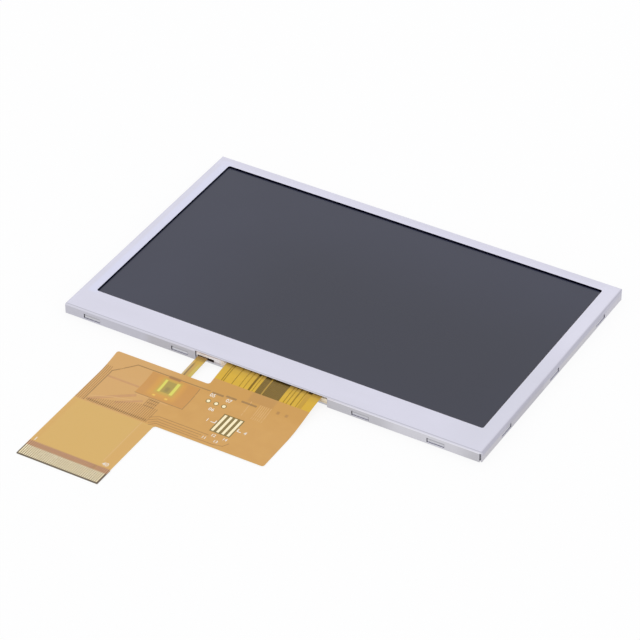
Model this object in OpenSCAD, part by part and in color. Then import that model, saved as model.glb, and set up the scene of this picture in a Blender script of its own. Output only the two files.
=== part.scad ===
// Colour TFT display module, 4.3 inch class: a folded sheet-metal bezel over an
// LCD cell and an edge-lit backlight, with a 40-contact flexible printed circuit.
// All sizes are in millimetres. The origin is the middle of the module's rear
// face, +Z points out of the screen, and the flexible circuit leaves towards -Y.

/* [Window and borders] */
// Length of the window in the bezel, along X
window_l = 98.3; // [60:0.1:220]
// Width of the window in the bezel, along Y
window_w = 56.9; // [35:0.1:130]
// Corner radius of the window
window_r = 0.5; // [0.3:0.1:2]
// How far the upper polarizer runs under the bezel
polarizer_lap = 1.0; // [0.7:0.05:2]
// Bare rim of the glass round the polarizer
glass_rim = 0.5; // [0.2:0.05:1.5]
// Width of the glass ledge that carries the driver chip
ledge_w = 4.2; // [3.4:0.1:7]
// Clearance round the glass
glass_gap = 0.2; // [0.1:0.05:0.6]
// Mould frame wall at the two short sides
frame_side = 1.3; // [0.9:0.05:3]
// Mould frame wall at the back
frame_back = 0.65; // [0.5:0.05:3]
// Mould frame wall at the flex side
frame_front = 0.85; // [0.6:0.05:3]
// Clearance between the nested sheet-metal walls and the mould frame
fit = 0.05; // [0.02:0.01:0.15]

/* [Sheet metal] */
// Sheet thickness of the bezel
bezel_t = 0.3; // [0.2:0.05:0.6]
// Bend radius of the bezel, outside
bend_r = 0.5; // [0.4:0.05:1]
// Plan radius of the two closed corners of the bezel
corner_r = 0.5; // [0.4:0.1:2]
// Width of the open slit at each folded front corner
corner_slit = 0.2; // [0.1:0.05:0.8]
// Gap under the bezel's skirt
skirt_lift = 0.05; // [0.02:0.01:0.2]
// Sheet thickness of the rear cover
cover_t = 0.2; // [0.15:0.05:0.4]
// Bend radius of the rear cover, outside
cover_bend_r = 0.4; // [0.3:0.05:0.8]
// Height of the rear cover's walls
cover_h = 1.95; // [1.8:0.05:2.2]
// Corner relief between two walls of the rear cover
cover_relief = 1.2; // [0.8:0.1:3]

/* [Snap tongues] */
// Length of a snap window in the bezel's skirt
snap_l = 4.3; // [3:0.1:8]
// Height of a snap window
snap_h = 1.1; // [0.9:0.05:1.2]
// Lower edge of a snap window
snap_z = 0.45; // [0.35:0.05:0.6]
// Gap at the two ends of a tongue in its window
snap_gap = 0.15; // [0.1:0.01:0.35]
// Gap under a tongue in its window
snap_foot = 0.05; // [0.05:0.01:0.3]
// How far a tongue stays behind the face of the skirt
snap_sink = 0.18; // [0.05:0.01:0.22]
// Distance of the outer snaps from the module's short sides
snap_end = 7.1; // [5:0.1:12]
// Distance of the outer snap from the short side, right of the flex
snap_end_right = 11.1; // [8:0.1:16]
// Distance of the inner snaps from the middle
snap_mid = 22.9; // [20:0.1:28]
// How far the inner snaps of the front wall sit to the right
snap_mid_shift = 0.3; // [-1:0.05:1]
// Pitch of the three snaps on a short side
snap_side_pitch = 22.4; // [14:0.1:28]
// How far the three snaps of a short side sit to the back
snap_side_shift = 0.25; // [-1:0.05:1]

/* [Layers] */
// Reflector film
reflector_t = 0.1; // [0.05:0.01:0.3]
// Light guide
guide_t = 0.55; // [0.4:0.05:1.5]
// Diffuser film
diffuser_t = 0.1; // [0.05:0.01:0.3]
// Each of the two prism films
prism_t = 0.07; // [0.05:0.01:0.2]
// Adhesive rim tape between the backlight and the cell
rim_tape_t = 0.06; // [0.04:0.01:0.2]
// Lower polarizer
lower_polarizer_t = 0.15; // [0.1:0.01:0.3]
// Each of the two glass plates
glass_t = 0.5; // [0.3:0.05:0.7]
// Upper polarizer
upper_polarizer_t = 0.2; // [0.1:0.01:0.4]
// Foam gasket between the polarizer and the bezel
gasket_t = 0.1; // [0.05:0.01:0.4]

/* [Backlight] */
// How far the light guide runs past the window, at the sides and the back
guide_lap = 0.5; // [0.3:0.05:1]
// How far the light guide runs past the window towards the lamps
guide_reach = 3.0; // [2:0.1:3.5]
// Play of the light guide in its pocket
guide_play = 0.15; // [0.05:0.01:0.3]
// Inset of the optical films from the edge of the light guide
film_inset = 0.25; // [0.1:0.05:0.6]
// Number of lamps
led_n = 8; // [4:1:12]
// Distance from the outer lamps to the ends of the light guide
led_end = 6.95; // [3:0.05:12]
// Length of a lamp
led_l = 3.8; // [2:0.1:5]
// Depth of a lamp, across the light guide's edge
led_w = 1.2; // [0.8:0.1:1.4]
// Air gap between a lamp and the light guide
led_gap = 0.1; // [0.05:0.01:0.3]
// Thickness of the lamp flex
led_flex_t = 0.08; // [0.05:0.01:0.12]
// Lap of the lamp flex over the light guide
led_flex_lap = 0.6; // [0.3:0.05:1.2]
// How far the strap of the lamp flex hangs through on its way
led_strap_sag = 0.3; // [0:0.05:0.35]
// Width of the lamp flex's strap
led_strap_w = 2.45; // [1.5:0.05:4]
// Middle of the lamp strap along X
led_strap_x = -16.6; // [-20:0.1:-15.5]
// How far the strap rises on its way through the mould frame's wall
led_strap_rise = 0.35; // [0:0.05:0.45]
// Height of the slot that lets the strap out
strap_slot_h = 0.55; // [0.35:0.05:0.6]
// Sill of the slot, above the level of the light guide's top
strap_slot_sill = 0.2; // [0.1:0.05:0.25]
// How far the slot runs past the strap on the side of the main flex
strap_slot_over = 1.6; // [1:0.1:2.2]

/* [Driver chip] */
// Length of the driver chip
chip_l = 17; // [10:0.5:22]
// Width of the driver chip
chip_w = 1.1; // [0.8:0.1:1.4]
// Height of the driver chip
chip_h = 0.3; // [0.2:0.05:0.5]
// Gap between the chip and the edge of the upper glass
chip_gap = 0.6; // [0.3:0.1:1]

/* [Flexible circuit] */
// Thickness of the base film
film_t = 0.07; // [0.04:0.01:0.12]
// Thickness of the coverlay, and of the plated pads in its openings
coverlay_t = 0.03; // [0.02:0.01:0.06]
// Thickness of the bare copper tracks on the strap
track_t = 0.02; // [0.01:0.005:0.04]
// Width of the strap that is bonded to the glass
strap_w = 24.0; // [16:0.05:30]
// Middle of the strap along X
strap_x = 1.6; // [1:0.02:3]
// How far the strap rises over the mould frame's lip on its way out
strap_lift = 0.3; // [0:0.05:0.4]
// Width of the bonded lap on the glass ledge
bond_w = 1.6; // [1:0.1:2.2]
// Distance from the module to the body of the circuit
strap_reach = 7.15; // [6:0.05:12]
// Distance from the module to the edge of the coverlay
coverlay_reach = 5.1; // [3:0.1:6]
// Length of the circuit's body, along X
body_l = 47.75; // [46:0.05:60]
// Width of the circuit's body, along Y
body_w = 17.2; // [16:0.05:24]
// Length of the tail past the body
tail_l = 22.25; // [12:0.05:60]
// Distance from the module to where the circuit lies flat
landing_reach = 14.4; // [14:0.1:24]
// Outer corner radius of the circuit
flex_r = 0.6; // [0.3:0.1:2]
// Inner corner radius of the circuit
flex_inner_r = 0.7; // [0.3:0.1:1.5]

/* [Connector tail] */
// Number of contacts
pin_n = 40; // [10:1:60]
// Pitch of the contacts
pin_pitch = 0.5; // [0.3:0.1:1]
// Width of a contact
pin_w = 0.3; // [0.15:0.01:0.6]
// Film left outside the first and the last contact
pin_edge = 0.33; // [0.2:0.01:0.6]
// Exposed length of the contacts
pin_l = 3.25; // [2:0.05:5]
// Film left between the contacts and the tail's end
pin_inset = 0.2; // [0.1:0.05:1]
// Length of the stiffener
stiffener_l = 5.0; // [4.6:0.1:10]
// Thickness of the stiffener
stiffener_t = 0.2; // [0.17:0.01:0.3]

/* [Pads] */
// Number of long pads for a touch panel
touch_n = 4; // [2:1:6]
// Pitch of the long pads
touch_pitch = 1.3; // [0.8:0.1:2]
// Width of a long pad
touch_w = 0.62; // [0.3:0.01:0.7]
// Length of a long pad
touch_l = 5.9; // [3:0.1:6.2]
// Middle of the long pads along X
touch_x = -0.16; // [-1:0.02:2]
// Distance from the back edge of the body to the long pads
touch_inset = 6.45; // [6:0.05:9]
// Coverlay opening round the long pads
touch_frame = 0.3; // [0.1:0.05:0.5]
// Number of round test pads
test_n = 3; // [1:1:4]
// Pitch of the test pads
test_pitch = 1.96; // [1.5:0.01:2.5]
// Radius of a test pad
test_r = 0.42; // [0.2:0.01:0.5]
// Radius of the coverlay opening round a test pad
test_open_r = 0.6; // [0.55:0.01:0.7]
// Middle of the test pads along X
test_x = -6.04; // [-6.6:0.02:-5]
// Distance from the back edge of the body to the test pads
test_inset = 4.3; // [2:0.1:5]

/* [Backlight joint] */
// Length of the head at the end of the lamp strap, along X
head_l = 5.0; // [4.2:0.1:7]
// Middle of the head along X
head_x = -17.78; // [-18.2:0.02:-17]
// Distance from the back edge of the tape to the head
head_inset = 0.4; // [0.3:0.1:1]
// Width of the head, along Y
head_w = 5.0; // [4.2:0.1:6]
// Pitch of the two solder joints
solder_pitch = 3.06; // [2:0.02:3.1]
// Width of a solder joint
solder_w = 0.7; // [0.3:0.05:0.9]
// Length of a solder joint
solder_l = 3.8; // [2:0.1:4]
// Height of a solder joint
solder_t = 0.04; // [0.02:0.01:0.05]
// Length of the insulating tape, along X
tape_l = 12; // [9:0.1:13]
// Width of the insulating tape, along Y
tape_w = 7.6; // [6.5:0.1:9]
// Distance from the back edge of the body to the tape
tape_inset = 1.85; // [1.2:0.05:3]
// Thickness of the insulating tape
tape_t = 0.03; // [0.02:0.01:0.04]

/* [Cut-out] */
// Bezel cut-out past the lamp strap
cutout_left = 0.65; // [0.4:0.05:2]
// Gap between the cut-out's edge and the mould frame's lip, beside the lamp strap
lip_gap = 0.25; // [0.05:0.05:0.35]
// Bezel cut-out past the other side of the main strap
cutout_right = 1.4; // [0.5:0.05:3]
// How far the mould frame stays behind the bezel's face in the cut-out
lip_sink = 0.1; // [0.05:0.01:0.25]

/* [Hidden] */
LED_NODES = [for (i = [1:led_n]) str("led_", i)];

$fn = 48;
EPS = 0.01;
CUT = 5;

// Heights of the layers, counted from the rear face
z_reflector = cover_t;
z_guide = z_reflector + reflector_t;
z_diffuser = z_guide + guide_t;
z_lower_prism = z_diffuser + diffuser_t;
z_upper_prism = z_lower_prism + prism_t;
z_rim_tape = z_upper_prism + prism_t;
z_lower_polarizer = z_rim_tape + rim_tape_t;
z_array = z_lower_polarizer + lower_polarizer_t;
z_filter = z_array + glass_t;
z_upper_polarizer = z_filter + glass_t;
z_gasket = z_upper_polarizer + upper_polarizer_t;
z_bezel = z_gasket + gasket_t;
module_h = z_bezel + bezel_t;

// Borders between the window and the module's outline
metal_wall = fit + cover_t + fit + bezel_t;
cell_border = polarizer_lap + glass_rim;
side_border = cell_border + glass_gap + frame_side + metal_wall;
back_border = cell_border + glass_gap + frame_back + metal_wall;
front_border = cell_border + ledge_w + glass_gap + frame_front + metal_wall;
module_l = window_l + 2 * side_border;
module_w = window_w + back_border + front_border;
x_side = module_l / 2;
y_front = -module_w / 2;
y_back = module_w / 2;

// Edges of the window
x_window = window_l / 2;
y_window_front = y_front + front_border;
y_window_back = y_back - back_border;

// The light guide, its lamps and the pocket that holds them
x_guide = x_window + guide_lap;
y_guide_front = y_window_front - guide_reach;
y_guide_back = y_window_back + guide_lap;
y_led_back = y_guide_front - led_gap;
y_led_front = y_led_back - led_w;
y_pocket_front = y_led_front - guide_play;
y_led_flex_back = y_guide_front + led_flex_lap;
y_led_flex_front = y_pocket_front - led_flex_lap;

// Faces of the mould frame
x_frame = x_side - metal_wall;
y_frame_front = y_front + metal_wall;
y_frame_back = y_back - metal_wall;
x_rim = x_frame - frame_side;
y_rim_front = y_frame_front + frame_front;
y_rim_back = y_frame_back - frame_back;

// The flexible circuit, as distances from the module's front face
strap_left = strap_x - strap_w / 2;
flex_right = strap_x + strap_w / 2;
flex_left = flex_right - body_l;
y_body_back = y_front - strap_reach;
y_body_front = y_body_back - body_w;
y_tail = y_body_front - tail_l;
y_coverlay = y_front - coverlay_reach;
y_landing = y_front - landing_reach;
y_bond_front = y_rim_front + glass_gap;
y_bond = y_bond_front + bond_w;
y_bend = y_front + metal_wall;
tail_w = (pin_n - 1) * pin_pitch + pin_w + 2 * pin_edge;
tail_right = flex_left + tail_w;
flex_t = film_t + coverlay_t;

// The cut-out that lets both straps out
led_strap_left = led_strap_x - led_strap_w / 2;
led_strap_right = led_strap_x + led_strap_w / 2;
cutout_x0 = led_strap_left - cutout_left;
cutout_x1 = flex_right + cutout_right;
lip_step = strap_left - cutout_left;

// Snap windows as [middle, side] along each skirt
front_snaps = [-x_side + snap_end, snap_mid_shift - snap_mid, snap_mid_shift + snap_mid,
               x_side - snap_end_right];
back_snaps = [-x_side + snap_end, -snap_mid, snap_mid, x_side - snap_end];
side_snaps = [for (i = [-1:1]) snap_side_shift + i * snap_side_pitch];

METAL = [0.84, 0.84, 0.89];
DARK_FILM = [0.25, 0.26, 0.31];
FILM_TAN = [0.83, 0.65, 0.41];
FILM_YELLOW = [0.84, 0.70, 0.27];
GOLD = [0.95, 0.85, 0.60];

// ---------------------------------------------------------------- helpers

// A box from its two X limits, two Y limits and two Z limits
module slab(x0, x1, y0, y1, z0, z1) {
    translate([x0, y0, z0]) cube([x1 - x0, y1 - y0, z1 - z0]);
}

// A rectangle with round corners, from its limits
module round_rect(x0, x1, y0, y1, r) {
    translate([x0 + r, y0]) square([x1 - x0 - 2 * r, y1 - y0]);
    translate([x0, y0 + r]) square([x1 - x0, y1 - y0 - 2 * r]);
    for (x = [x0 + r, x1 - r], y = [y0 + r, y1 - r]) translate([x, y]) circle(r);
}

// The web that rounds an inner corner; sx and sy point into the open quadrant
module inner_round(x, y, sx, sy, r) {
    difference() {
        translate([x + (sx < 0 ? -r : -EPS), y + (sy < 0 ? -r : -EPS)])
            square([r + EPS, r + EPS]);
        translate([x + sx * r, y + sy * r]) circle(r);
    }
}

// A rectangle whose two upper corners are round
module arch(l, z0, z1, r) {
    translate([-l / 2, z0]) square([l, z1 - z0 - r]);
    translate([-l / 2 + r, z0]) square([l - 2 * r, z1 - z0]);
    for (s = [-1, 1]) translate([s * (l / 2 - r), z1 - r]) circle(r);
}

// A block with bent upper edges that meet in mitres, as folded sheet has
module bent_block(l, w, z0, z1, r) {
    intersection() {
        rotate([90, 0, 0]) translate([0, 0, -w / 2]) linear_extrude(w) arch(l, z0, z1, r);
        rotate([90, 0, 90]) translate([0, 0, -l / 2]) linear_extrude(l) arch(w, z0, z1, r);
    }
}

// Places its child, drawn for the front skirt, at every snap of the module
module at_snaps() {
    for (x = front_snaps) translate([x, y_front, 0]) children();
    for (x = back_snaps) translate([x, y_back, 0]) rotate([0, 0, 180]) children();
    for (y = side_snaps, s = [-1, 1])
        translate([s * x_side, y, 0]) rotate([0, 0, s * 90]) children();
}

// ------------------------------------------------------ sheet-metal parts

// Window cut of a snap, through every wall thinner than depth
module snap_window(depth) {
    slab(-snap_l / 2, snap_l / 2, -EPS, depth, snap_z, snap_z + snap_h);
}

module front_bezel() {
    inner_r = bend_r - bezel_t;
    color(METAL) difference() {
        intersection() {
            bent_block(module_l, module_w, skirt_lift, module_h, bend_r);
            linear_extrude(module_h + CUT) union() {
                round_rect(-x_side, x_side, y_front, y_back, corner_r);
                translate([-x_side, y_front]) square([module_l, corner_r]);
            }
        }
        intersection() {
            bent_block(module_l - 2 * bezel_t, module_w - 2 * bezel_t, -CUT, z_bezel, inner_r);
            translate([0, 0, -CUT]) linear_extrude(module_h + 2 * CUT) union() {
                round_rect(-x_side + bezel_t, x_side - bezel_t,
                           y_front + bezel_t, y_back - bezel_t, corner_r - bezel_t);
                translate([-x_side + bezel_t, y_front + bezel_t])
                    square([module_l - 2 * bezel_t, corner_r]);
            }
        }
        linear_extrude(module_h + CUT)
            round_rect(-x_window, x_window, y_window_front, y_window_back, window_r);
        at_snaps() snap_window(bezel_t + fit);
        slab(cutout_x0, cutout_x1, y_front - CUT, y_front + bend_r, -CUT, z_bezel - fit);
        // open corners: the front wall stops short of the right wall, and the left
        // wall stops short of the front wall
        slab(x_side - bezel_t - corner_slit, x_side + CUT, y_front - CUT,
             y_front + bezel_t, -CUT, module_h - bend_r);
        slab(-x_side - CUT, -x_side + bezel_t + fit, y_front + bezel_t,
             y_front + bezel_t + corner_slit, -CUT, module_h - bend_r);
    }
}

// One lanced tongue of the rear cover, drawn for the front wall: it leaves the
// wall above the window and steps out into it
module snap_tongue() {
    wall = bezel_t + fit;
    tongue_l = snap_l - 2 * snap_gap;
    foot = snap_z + snap_foot;
    knee = foot + (snap_h - snap_foot) / 2;
    root = snap_z + snap_h;
    translate([-tongue_l / 2, 0, 0]) rotate([90, 0, 90]) linear_extrude(tongue_l)
        polygon([
            [snap_sink, foot], [snap_sink + cover_t, foot],
            [snap_sink + cover_t, knee], [wall + cover_t, root],
            [wall + cover_t, root + EPS], [wall, root + EPS],
            [wall, root], [snap_sink, knee]]);
}

module rear_cover() {
    wall = bezel_t + fit;
    l = module_l - 2 * wall;
    w = module_w - 2 * wall;
    color([0.80, 0.80, 0.83]) union() {
        difference() {
            intersection() {
                mirror([0, 0, 1]) bent_block(l, w, -cover_h, 0, cover_bend_r);
                translate([0, 0, -EPS]) linear_extrude(module_h)
                    round_rect(-l / 2, l / 2, -w / 2, w / 2, corner_r - wall);
            }
            mirror([0, 0, 1]) bent_block(l - 2 * cover_t, w - 2 * cover_t, -cover_h - CUT,
                                         -cover_t, cover_bend_r - cover_t);
            for (x = [-1, 1], y = [-1, 1]) translate([x * l / 2, y * w / 2, 0])
                slab(-cover_relief, cover_relief, -cover_relief, cover_relief,
                     cover_bend_r, cover_h + CUT);
            at_snaps() translate([0, wall, 0]) snap_window(cover_t + EPS);
            slab(cutout_x0 - cutout_left, cutout_x1 + cutout_left, y_front - CUT, y_frame_front,
                 z_diffuser - fit, cover_h + CUT);
        }
        at_snaps() snap_tongue();
    }
}

// ------------------------------------------------------------ mould frame

module mould_frame() {
    ledge_z = z_rim_tape;
    slot_z = z_diffuser + strap_slot_sill;
    rim_z = z_bezel - fit;
    color([0.92, 0.92, 0.94]) difference() {
        union() {
            slab(-x_frame, x_frame, y_frame_front, y_frame_back, cover_t, rim_z);
            slab(cutout_x0 + lip_gap, cutout_x1 - fit, y_front + lip_sink, y_frame_front + EPS,
                 z_diffuser, rim_z);
        }
        // room for the cell
        slab(-x_rim, x_rim, y_rim_front, y_rim_back, ledge_z, rim_z + EPS);
        // pocket for the light guide and the lamps
        slab(-x_guide - guide_play, x_guide + guide_play, y_pocket_front,
             y_guide_back + guide_play, -EPS, ledge_z + EPS);
        // seat of the lamp flex
        slab(-x_guide, x_guide, y_led_flex_front - fit, y_pocket_front + EPS,
             z_diffuser, ledge_z + EPS);
        // way out of the lamp strap
        slab(led_strap_left - fit, led_strap_right + strap_slot_over, y_rim_front - EPS,
             y_led_flex_front, z_diffuser - EPS, ledge_z + EPS);
        slab(led_strap_left - fit, led_strap_right + strap_slot_over, y_frame_front,
             y_rim_front + EPS, z_diffuser - EPS, slot_z + strap_slot_h);
        slab(led_strap_left - fit, led_strap_right + strap_slot_over, y_front - EPS,
             y_frame_front + EPS, slot_z, slot_z + strap_slot_h);
        // way out of the main strap
        slab(lip_step, cutout_x1 + EPS, y_frame_front, y_rim_front + EPS,
             z_filter - fit, rim_z + EPS);
        slab(lip_step, cutout_x1 + EPS, y_front - EPS, y_frame_front + EPS,
             z_lip - fit, rim_z + EPS);
        // the rear cover's bends
        for (s = [-1, 1]) {
            frame_chamfer([s * x_frame, 0, cover_t], 90, module_w);
            frame_chamfer([0, s * y_frame_back, cover_t], 0, module_l);
        }
    }
}

// Small chamfer along a lower outer edge of the mould frame
module frame_chamfer(at, turn, length) {
    c = cover_bend_r - cover_t;
    translate(at) rotate([0, 0, turn]) rotate([45, 0, 0])
        translate([-length / 2, -c, -c]) cube([length, 2 * c, 2 * c]);
}

// -------------------------------------------------------- cell and its films

// A flat ring with a rectangular opening
module ring(x1, y0, y1, inner_x, inner_y0, inner_y1, z, t) {
    difference() {
        slab(-x1, x1, y0, y1, z, z + t);
        slab(-inner_x, inner_x, inner_y0, inner_y1, z - EPS, z + t + EPS);
    }
}

module window_gasket() {
    inset = polarizer_lap / 4;
    color([0.08, 0.08, 0.09]) ring(
        x_window + polarizer_lap - inset, y_window_front - polarizer_lap + inset,
        y_window_back + polarizer_lap - inset, x_window + inset, y_window_front - inset,
        y_window_back + inset, z_gasket, gasket_t);
}

// A sheet that covers the window and runs under the bezel by lap
module cell_sheet(lap, front_lap, z, t) {
    slab(-x_window - lap, x_window + lap, y_window_front - front_lap,
         y_window_back + lap, z, z + t);
}

module upper_polarizer() {
    color(DARK_FILM) cell_sheet(polarizer_lap, polarizer_lap, z_upper_polarizer, upper_polarizer_t);
}

module colour_filter_glass() {
    color([0.55, 0.62, 0.66]) cell_sheet(cell_border, cell_border, z_filter, glass_t);
}

module array_glass() {
    color([0.62, 0.70, 0.74]) cell_sheet(cell_border, cell_border + ledge_w, z_array, glass_t);
}

module lower_polarizer() {
    color(DARK_FILM) cell_sheet(polarizer_lap, polarizer_lap, z_lower_polarizer, lower_polarizer_t);
}

module driver_chip() {
    y_chip = y_window_front - cell_border - chip_gap - chip_w;
    color([0.20, 0.20, 0.22])
        slab(strap_x - chip_l / 2, strap_x + chip_l / 2, y_chip, y_chip + chip_w,
             z_filter, z_filter + chip_h);
}

module rim_tape() {
    color([0.06, 0.06, 0.06]) ring(
        x_rim - fit, y_rim_front + fit, y_rim_back - fit, x_window,
        y_window_front, y_window_back, z_rim_tape, rim_tape_t);
}

// An optical film on the light guide, behind the lamp flex
module optical_film(z, t) {
    slab(-x_guide + film_inset, x_guide - film_inset, y_led_flex_back + film_inset,
         y_guide_back - film_inset, z, z + t);
}

module upper_prism_film() {
    color([0.93, 0.94, 0.96]) optical_film(z_upper_prism, prism_t);
}

module lower_prism_film() {
    color([0.90, 0.92, 0.95]) optical_film(z_lower_prism, prism_t);
}

module diffuser_film() {
    color([0.96, 0.96, 0.96]) optical_film(z_diffuser, diffuser_t);
}

module light_guide() {
    color([0.86, 0.93, 0.95])
        slab(-x_guide, x_guide, y_guide_front, y_guide_back, z_guide, z_guide + guide_t);
}

module reflector_film() {
    color([0.97, 0.97, 0.98])
        slab(-x_guide, x_guide, y_led_front, y_guide_back, z_reflector, z_reflector + reflector_t);
}

// One lamp: a body with its light face towards the guide
module led(i) {
    led_pitch = 2 * (x_guide - led_end) / (led_n - 1);
    x = (i - (led_n + 1) / 2) * led_pitch;
    face = led_l / 8;
    color([0.97, 0.92, 0.70]) difference() {
        slab(x - led_l / 2, x + led_l / 2, y_led_front, y_led_back, z_guide, z_guide + guide_t);
        slab(x - led_l / 2 + face, x + led_l / 2 - face, y_led_back - led_gap,
             y_led_back + EPS, z_guide + guide_t / 5, z_guide + guide_t * 4 / 5);
    }
}

// ------------------------------------------------------- flexible circuit

// Smooth step from 0 to 1
function ease(t) = let (u = min(max(t, 0), 1)) u * u * (3 - 2 * u);
function mix(a, b, t) = a + (b - a) * t;

// Height of the underside of the main circuit: it rises from the glass over the
// mould frame's lip, and sinks until it lies flat at the height of the stiffener
z_lip = z_filter + strap_lift;
function flex_exit(y) = mix(z_filter, z_lip, ease((y_rim_front - y) / (y_rim_front - y_bend)));
function flex_z(y) = mix(flex_exit(y), stiffener_t,
                         ease((y_bend - y) / (y_bend - y_landing)));

// Height of the underside of the lamp strap: it rises a little inside the wall,
// leaves by its slot, hangs through, and meets the main circuit at the tape
y_tape = y_body_back - tape_inset;
y_head_back = y_tape - head_inset;
y_strap_bend = y_front + lip_sink;
joint_t = solder_t + led_flex_t;
function sag(t) = let (u = min(max(t, 0), 1)) pow(4 * u * (1 - u), 2);
function strap_way(y) = (y_strap_bend - y) / (y_strap_bend - y_tape);
function strap_exit(y) = z_diffuser
    + led_strap_rise * ease((y_rim_front - y) / (y_rim_front - y_strap_bend));
function strap_z(y) = mix(strap_exit(y), flex_z(y) - joint_t, ease(strap_way(y)))
    - led_strap_sag * sag(strap_way(y));

// Both circuits bend at the same places from the tape on
way_steps = 12;
tape_steps = 8;
rise_steps = 4;
tape_ys = concat([for (i = [0:tape_steps]) mix(y_tape, y_landing, i / tape_steps)],
                 [y_tail - CUT]);
flex_ys = concat([y_bond + CUT],
    [for (i = [0:rise_steps - 1]) mix(y_rim_front, y_bend, i / rise_steps)],
    [for (i = [0:way_steps - 1]) mix(y_bend, y_tape, i / way_steps)], tape_ys);
strap_ys = concat([y_led_flex_front + CUT],
    [for (i = [0:rise_steps - 1]) mix(y_rim_front, y_strap_bend, i / rise_steps)],
    [for (i = [0:way_steps - 1]) mix(y_strap_bend, y_tape, i / way_steps)], tape_ys);

// A layer that follows the main circuit, from lo to hi above its underside
module flex_layer(lo, hi) {
    n = len(flex_ys);
    translate([flex_left - CUT, 0, 0]) rotate([90, 0, 90]) linear_extrude(body_l + 2 * CUT)
        polygon(concat(
            [for (y = flex_ys) [y, flex_z(y) + lo]],
            [for (i = [1:n]) [flex_ys[n - i], flex_z(flex_ys[n - i]) + hi]]));
}

// Cuts a layer of the circuit to the outline drawn by its children
module on_flex(lo, hi) {
    intersection() {
        flex_layer(lo, hi);
        translate([0, 0, -CUT]) linear_extrude(module_h + 2 * CUT) children();
    }
}

// The outline of the circuit, flat
module flex_outline() {
    translate([strap_left, y_body_back - flex_inner_r])
        square([strap_w, y_bond - y_body_back + flex_inner_r]);
    round_rect(flex_left, flex_right, y_body_front, y_body_back, flex_r);
    translate([flex_right - flex_r, y_body_back - flex_r]) square(flex_r);
    translate([flex_left, y_tail]) square([tail_w, tail_l + 2 * flex_r]);
    inner_round(strap_left, y_body_back, -1, 1, flex_inner_r);
    inner_round(tail_right, y_body_front, 1, -1, flex_inner_r);
}

module touch_each() {
    for (i = [0:touch_n - 1])
        translate([touch_x + (i - (touch_n - 1) / 2) * touch_pitch, 0, 0]) children();
}

module test_each() {
    for (i = [0:test_n - 1])
        translate([test_x + (i - (test_n - 1) / 2) * test_pitch, y_body_back - test_inset, 0])
            children();
}

y_touch_back = y_body_back - touch_inset;

module coverlay_openings() {
    touch_half = (touch_n - 1) / 2 * touch_pitch + touch_w / 2 + touch_frame;
    translate([touch_x - touch_half, y_touch_back - touch_l - touch_frame])
        square([2 * touch_half, touch_l + 2 * touch_frame]);
    test_each() circle(test_open_r);
}

module main_flex() {
    color(FILM_YELLOW) on_flex(0, film_t) flex_outline();
}

module coverlay() {
    color(FILM_TAN) on_flex(film_t, flex_t) difference() {
        flex_outline();
        translate([strap_left - CUT, y_coverlay]) square([strap_w + 2 * CUT, CUT * 4]);
        translate([flex_left - CUT, y_tail - CUT])
            square([tail_w + 2 * CUT, pin_inset + pin_l + CUT]);
        coverlay_openings();
    }
}

// Bare tracks on the strap, as [left edge, width] counted from its left side,
// and the dense block of fine tracks with one wider gap in it
wide_tracks = [[1.65, 0.2], [2.15, 0.2], [4.3, 0.14], [6.15, 0.14], [7.25, 0.14],
               [8.4, 0.5], [9.4, 0.12], [17.25, 0.16], [18.05, 0.16], [19, 0.3],
               [20.35, 0.16], [20.8, 1]];
fan_x = 10.2;
fan_w = 6.1;
fan_gap_x = 1.75;
fan_gap_w = 0.2;
fan_pitch = 0.305;
fan_fill = 0.7;

module strap_tracks() {
    fan_n = floor(fan_w / fan_pitch);
    color([0.56, 0.48, 0.25]) on_flex(film_t, film_t + track_t)
        translate([strap_left, y_coverlay]) {
            for (t = wide_tracks) translate([t[0], 0]) square([t[1], y_bond - y_coverlay]);
            for (i = [0:fan_n - 1])
                if (abs((i + 0.5) * fan_pitch - fan_gap_x) > fan_gap_w)
                    translate([fan_x + i * fan_pitch, 0])
                        square([fan_pitch * fan_fill, y_bond - y_coverlay]);
        }
}

module contact_fingers() {
    color(GOLD) on_flex(film_t, flex_t)
        for (i = [0:pin_n - 1])
            translate([flex_left + pin_edge + i * pin_pitch, y_tail + pin_inset])
                square([pin_w, pin_l]);
}

module touch_pads() {
    color(GOLD) on_flex(film_t, flex_t) touch_each()
        translate([-touch_w / 2, y_touch_back - touch_l]) square([touch_w, touch_l]);
}

module test_pads() {
    color(GOLD) on_flex(film_t, flex_t) test_each() circle(test_r);
}

module tail_stiffener() {
    color([0.48, 0.42, 0.31])
        slab(flex_left, tail_right, y_tail, y_tail + stiffener_l, 0, stiffener_t);
}

// -------------------------------------------------- lamp flex and its joint

// The head at the end of the lamp strap, grown by more on every side
module head_outline(more) {
    round_rect(head_x - head_l / 2 - more, head_x + head_l / 2 + more,
               y_head_back - head_w - more, y_head_back + more, 0.4 + more);
}

// The lamp strap from the module to its head, grown by more at its sides
module strap_outline(more) {
    translate([led_strap_left - more, y_head_back - 1])
        square([led_strap_w + 2 * more, y_led_flex_front - y_head_back + 1 + EPS]);
}

module lamp_flex() {
    n = len(strap_ys);
    reach = head_l + led_strap_w;
    color([0.85, 0.72, 0.40]) union() {
        slab(-x_guide + film_inset, x_guide - film_inset, y_led_flex_front, y_led_flex_back,
             z_diffuser, z_diffuser + led_flex_t);
        intersection() {
            translate([head_x - reach, 0, 0]) rotate([90, 0, 90]) linear_extrude(2 * reach)
                polygon(concat(
                    [for (y = strap_ys) [y, strap_z(y)]],
                    [for (i = [1:n]) [strap_ys[n - i], strap_z(strap_ys[n - i]) + led_flex_t]]));
            translate([0, 0, -CUT]) linear_extrude(module_h + 2 * CUT) union() {
                head_outline(0);
                strap_outline(0);
            }
        }
    }
}

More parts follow.
